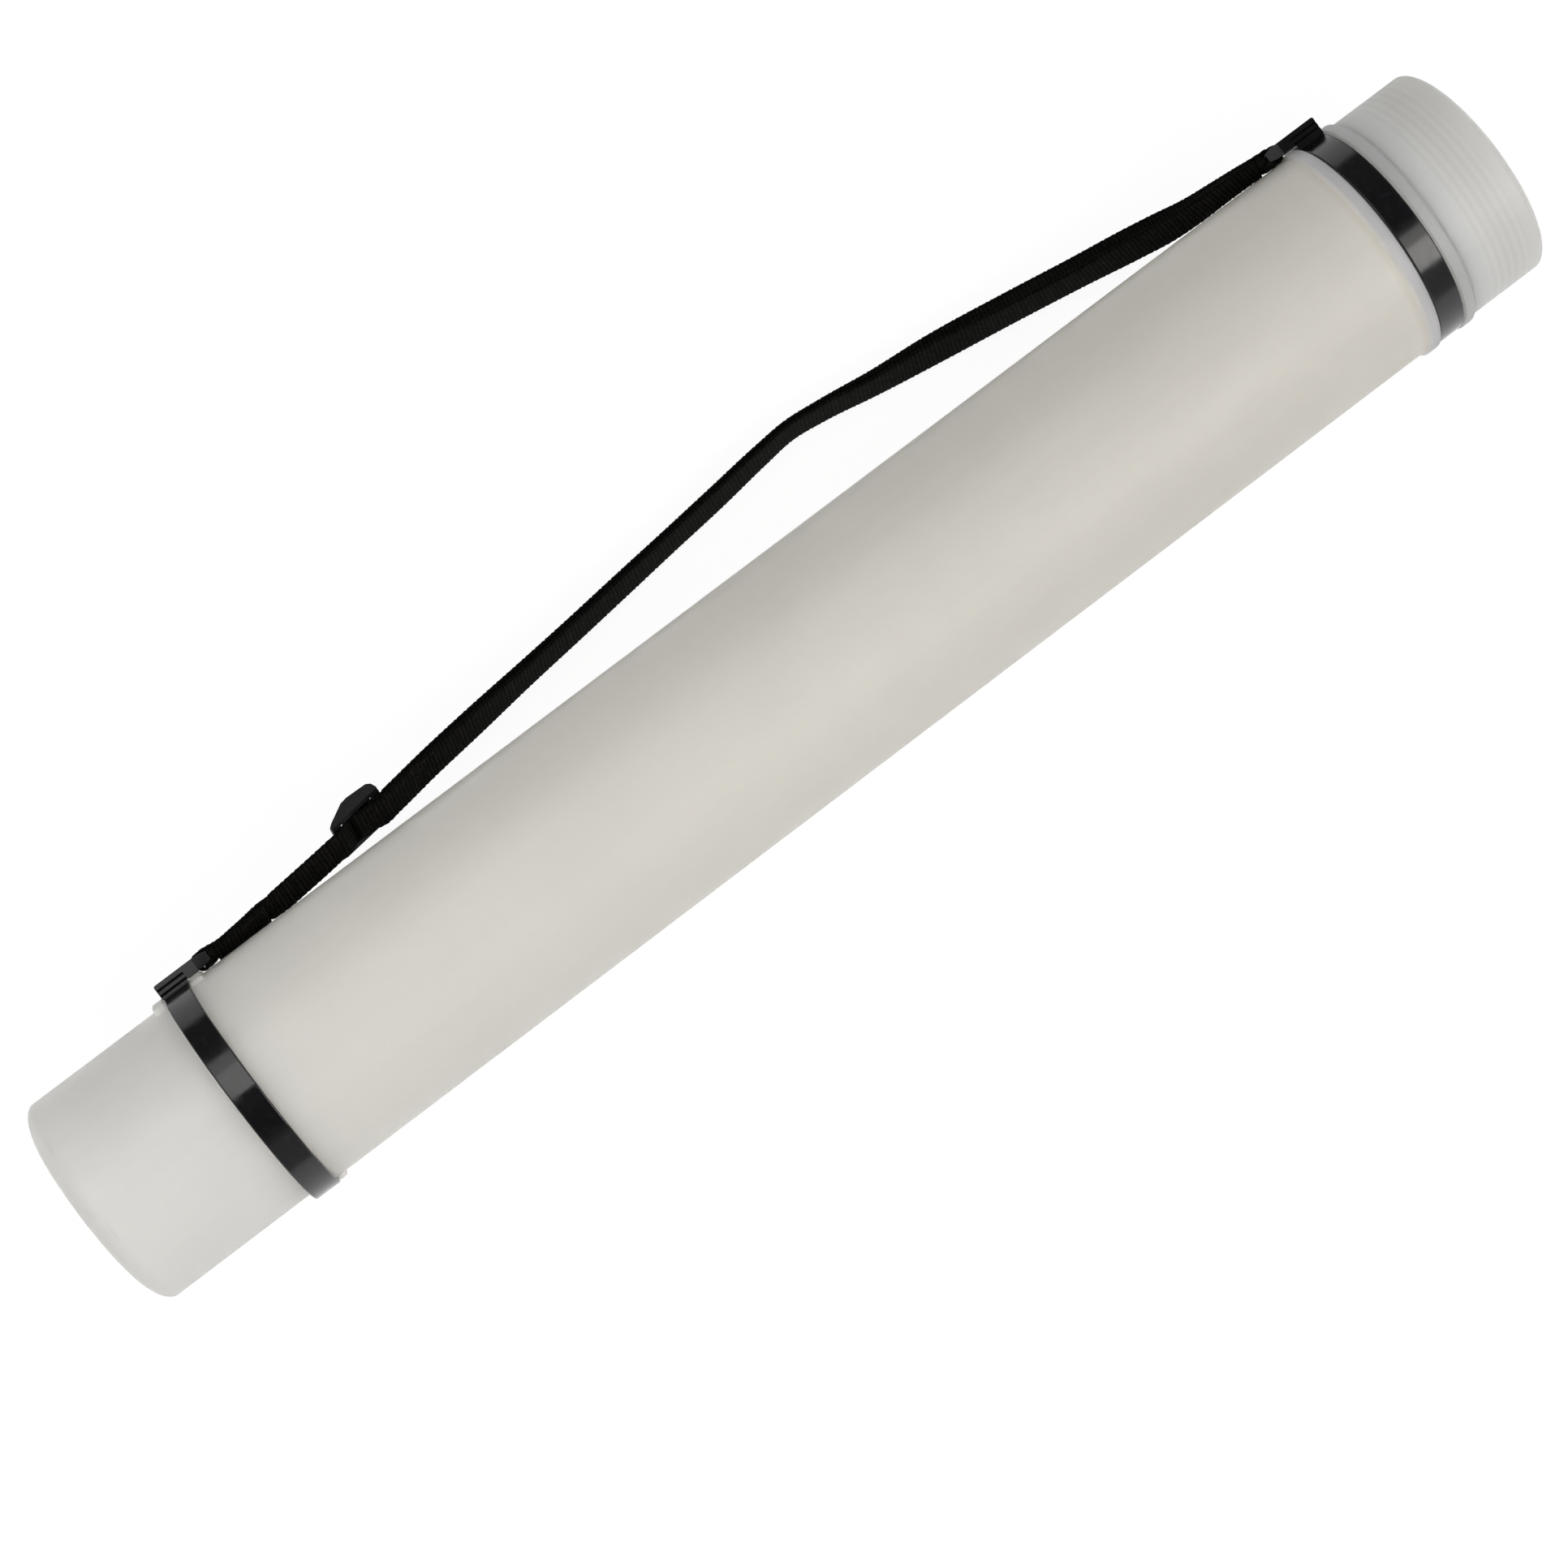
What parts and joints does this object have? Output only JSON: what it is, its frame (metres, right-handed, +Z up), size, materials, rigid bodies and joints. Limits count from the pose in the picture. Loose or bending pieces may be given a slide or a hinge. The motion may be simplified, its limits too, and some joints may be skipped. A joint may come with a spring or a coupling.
{
  "type": "telescopic poster tube",
  "caption": "Telescopic tube for rolled posters and drawings: frosted plastic body, sliding inner tube with a screw cap, black end bands and a webbing shoulder strap.",
  "frame": {"origin": "centre of the closed end's flat, on the tube's axis", "axes": "+X along the tube towards the screw cap, +Z up as it lies on a floor, +Y towards the strap"},
  "size_m": [0.6166, 0.1214, 0.0891],
  "materials": {
    "frosted_plastic": "milky translucent blown plastic, satin",
    "cap_plastic": "milky translucent moulded plastic, satin",
    "band_plastic": "black, glossy",
    "adjuster_plastic": "black, semi-gloss",
    "webbing": "black woven, ribbed"
  },
  "bodies": {
    "outer": {"outer_tube": "frosted_plastic", "lower_band": "band_plastic", "upper_band": "band_plastic", "strap": "webbing", "strap_adjuster": "adjuster_plastic"},
    "inner": {"inner_tube": "frosted_plastic"},
    "cap": {"screw_cap": "cap_plastic"}
  },
  "joints": [
    {"name": "tube_extend", "type": "slide", "parent": "outer", "child": "inner", "axis": [1, 0, 0], "range_m": [0, 0.4]},
    {"name": "cap_lift", "type": "slide", "parent": "inner", "child": "cap", "axis": [1, 0, 0], "range_m": [0, 0.045]}
  ]
}
